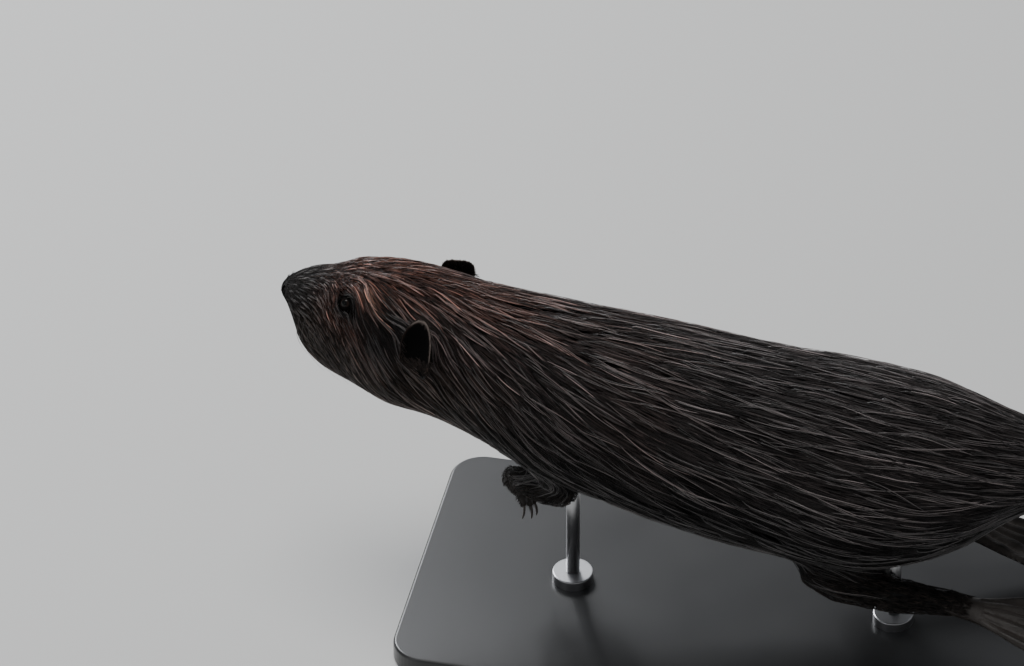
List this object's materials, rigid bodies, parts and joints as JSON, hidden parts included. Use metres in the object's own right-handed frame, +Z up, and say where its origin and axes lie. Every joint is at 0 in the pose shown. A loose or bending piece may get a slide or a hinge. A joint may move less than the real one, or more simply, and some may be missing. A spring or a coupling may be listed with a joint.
{
  "type": "beaver display model",
  "caption": "Life-size still beaver in its swimming pose, with folded forelegs, webbed hind feet and a flat scaly tail, held by short rods over a flat display base.",
  "frame": {"origin": "on the base's underside, below the middle of the whole model's box", "axes": "+Z up; the beaver faces -X, so +X runs to the tip of its tail; +Y is its right side"},
  "size_m": [0.954, 0.2922, 0.325],
  "materials": {
    "head_fur": "wet reddish brown fur, combed back in thin locks",
    "body_fur": "wet dark brown guard hair in long flat locks",
    "foot_skin": "dark scaly skin, webbed on the hind feet",
    "tail_scales": "rows of flat leathery scales, moist",
    "bare_skin": "moist black skin of the nose and the ears",
    "eye": "wet, very dark brown",
    "claw": "dark horn",
    "base": "black satin lacquer over fine grain",
    "rod": "brushed"
  },
  "bodies": {
    "root": {"claw_fore_left_1": "claw", "claw_fore_left_2": "claw", "claw_fore_left_3": "claw", "claw_fore_left_4": "claw", "claw_fore_left_5": "claw", "claw_fore_right_1": "claw", "claw_fore_right_2": "claw", "claw_fore_right_3": "claw", "claw_fore_right_4": "claw", "claw_fore_right_5": "claw", "claw_hind_left_1": "claw", "claw_hind_left_2": "claw", "claw_hind_left_3": "claw", "claw_hind_left_4": "claw", "claw_hind_left_5": "claw", "claw_hind_right_1": "claw", "claw_hind_right_2": "claw", "claw_hind_right_3": "claw", "claw_hind_right_4": "claw", "claw_hind_right_5": "claw", "ear_left": "bare_skin", "ear_right": "bare_skin", "eye_left": "eye", "eye_right": "eye", "foreleg_left": "body_fur", "foreleg_right": "body_fur", "forepaw_left": "foot_skin", "forepaw_right": "foot_skin", "head": "head_fur", "hindfoot_left": "foot_skin", "hindfoot_right": "foot_skin", "neck": "head_fur", "nose": "bare_skin", "shank_left": "body_fur", "shank_right": "body_fur", "stand_base": "base", "stand_collar_front": "rod", "stand_collar_rear": "rod", "stand_rod_front": "rod", "stand_rod_rear": "rod", "tail_blade": "tail_scales", "tail_root": "body_fur", "thigh_left": "body_fur", "thigh_right": "body_fur", "trunk": "body_fur"}
  },
  "joints": []
}
